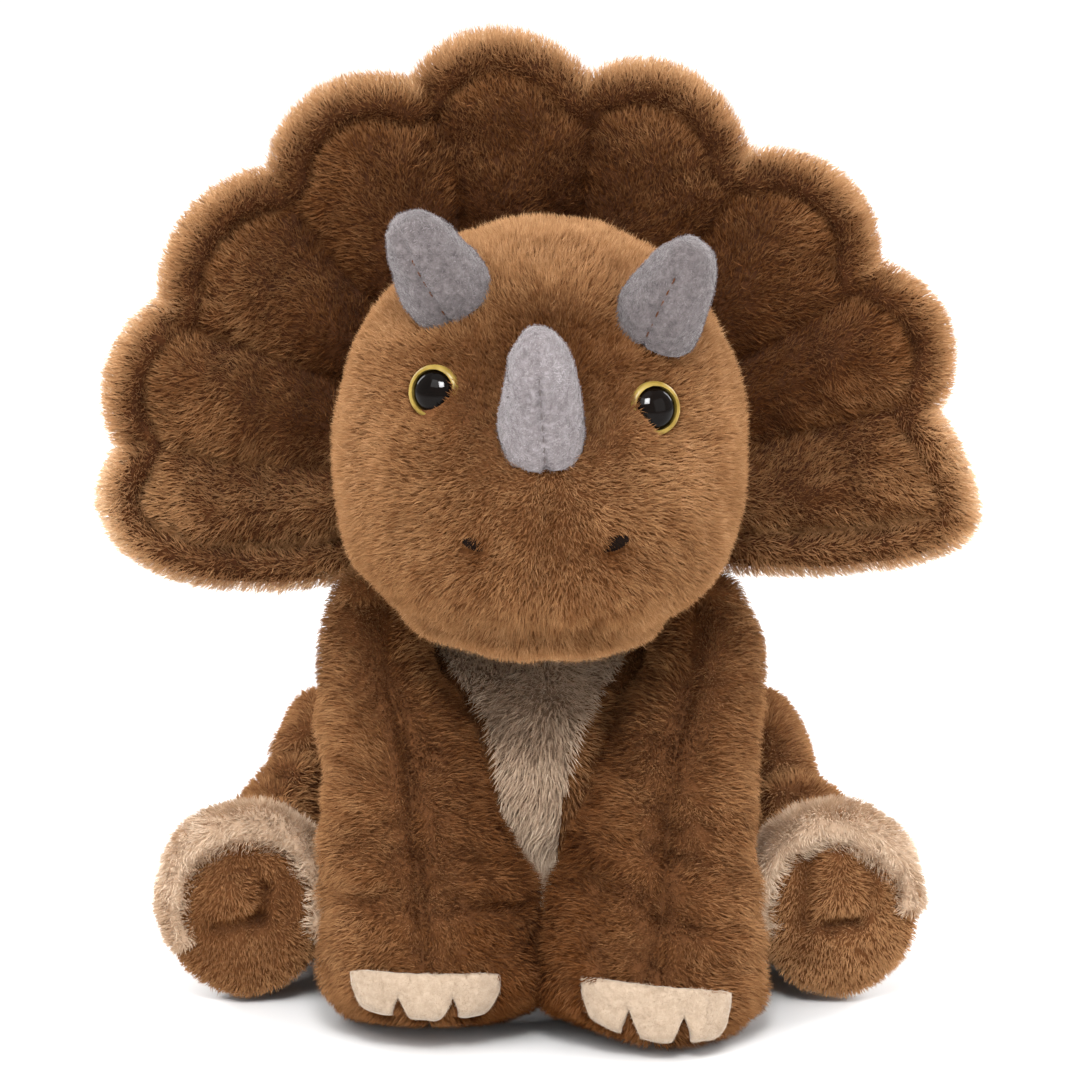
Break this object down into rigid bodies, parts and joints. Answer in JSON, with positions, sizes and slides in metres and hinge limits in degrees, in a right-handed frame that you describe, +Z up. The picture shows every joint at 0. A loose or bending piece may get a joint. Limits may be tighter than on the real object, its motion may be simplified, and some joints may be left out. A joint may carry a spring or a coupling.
{
  "type": "stuffed dinosaur",
  "caption": "sitting plush horned dinosaur with a quilted scalloped frill, felt horns, plastic eyes and limbs that swing on their sewn seams",
  "frame": {"origin": "on the ground, under the middle of the whole sitting toy", "axes": "-Y is the way the toy faces, +X is its own left side, +Z is up"},
  "size_m": [0.2676, 0.2532, 0.2813],
  "materials": {
    "plush_brown": "matte",
    "plush_golden": "matte",
    "plush_cream": "matte",
    "plush_beige": "matte",
    "felt_grey": "matte",
    "felt_cream": "matte",
    "fibre_fill": "matte",
    "lining": "matte",
    "eye_black": "gloss",
    "eye_gold": "gloss",
    "washer_plastic": "satin",
    "thread_dark": "matte",
    "pellets": "matte"
  },
  "bodies": {
    "torso": {"torso_skin": "plush_brown", "chest_panel": "plush_beige", "torso_stuffing": "fibre_fill", "seat_bag": "lining", "seat_pellets": "pellets"},
    "neck": {"neck_stuffing": "fibre_fill"},
    "head": {"head_skin": "plush_brown", "head_stuffing": "fibre_fill", "eye_left": "eye_black", "eye_right": "eye_black", "eye_iris_left": "eye_gold", "eye_iris_right": "eye_gold", "eye_washer_left": "washer_plastic", "eye_washer_right": "washer_plastic", "nostril_stitch_left": "thread_dark", "nostril_stitch_right": "thread_dark", "brow_horn_left_cover": "felt_grey", "brow_horn_left_stuffing": "fibre_fill", "brow_horn_right_cover": "felt_grey", "brow_horn_right_stuffing": "fibre_fill", "nose_horn_cover": "felt_grey", "nose_horn_stuffing": "fibre_fill"},
    "frill": {"frill_front_panel": "plush_golden", "frill_batting": "fibre_fill", "frill_back_panel": "plush_brown"},
    "front_leg_left": {"front_leg_left_skin": "plush_brown", "front_leg_left_stuffing": "fibre_fill", "front_toes_left": "felt_cream"},
    "front_leg_right": {"front_leg_right_skin": "plush_brown", "front_leg_right_stuffing": "fibre_fill", "front_toes_right": "felt_cream"},
    "hind_leg_left": {"hind_leg_left_skin": "plush_brown", "hind_leg_left_stuffing": "fibre_fill", "hind_foot_band_left": "plush_cream", "hind_sole_left": "plush_brown"},
    "hind_leg_right": {"hind_leg_right_skin": "plush_brown", "hind_leg_right_stuffing": "fibre_fill", "hind_foot_band_right": "plush_cream", "hind_sole_right": "plush_brown"},
    "tail": {"tail_skin": "plush_brown", "tail_stuffing": "fibre_fill"}
  },
  "joints": [
    {"name": "head_turn", "type": "hinge", "parent": "torso", "child": "neck", "pos_m": [0.00022, -0.00135, 0.116], "axis": [0, 0, 1], "range_deg": [-10, 10], "stiffness_Nm_per_rad": 1},
    {"name": "head_nod", "type": "hinge", "parent": "neck", "child": "head", "pos_m": [0.00022, -0.00135, 0.116], "axis": [-1, 0, 0], "range_deg": [-2, 15], "stiffness_Nm_per_rad": 3},
    {"name": "frill_fold", "type": "hinge", "parent": "head", "child": "frill", "pos_m": [0.00022, 0.00365, 0.118], "axis": [-1, 0, 0], "range_deg": [0, 20], "stiffness_Nm_per_rad": 0.8},
    {"name": "front_leg_left_swing", "type": "hinge", "parent": "torso", "child": "front_leg_left", "pos_m": [0.04222, -0.04735, 0.0845], "axis": [-1, 0, 0], "range_deg": [0, 35], "stiffness_Nm_per_rad": 0.6},
    {"name": "front_leg_right_swing", "type": "hinge", "parent": "torso", "child": "front_leg_right", "pos_m": [-0.04178, -0.04735, 0.0845], "axis": [-1, 0, 0], "range_deg": [0, 35], "stiffness_Nm_per_rad": 0.6},
    {"name": "hind_leg_left_lift", "type": "hinge", "parent": "torso", "child": "hind_leg_left", "pos_m": [0.05072, 0.00265, 0.043], "axis": [-1, 0, 0], "range_deg": [0, 20], "stiffness_Nm_per_rad": 0.6},
    {"name": "hind_leg_right_lift", "type": "hinge", "parent": "torso", "child": "hind_leg_right", "pos_m": [-0.05028, 0.00265, 0.043], "axis": [-1, 0, 0], "range_deg": [0, 20], "stiffness_Nm_per_rad": 0.6},
    {"name": "tail_wag", "type": "hinge", "parent": "torso", "child": "tail", "pos_m": [0.00022, 0.07665, 0.02], "axis": [0, 0, 1], "range_deg": [-20, 20], "stiffness_Nm_per_rad": 0.3}
  ]
}
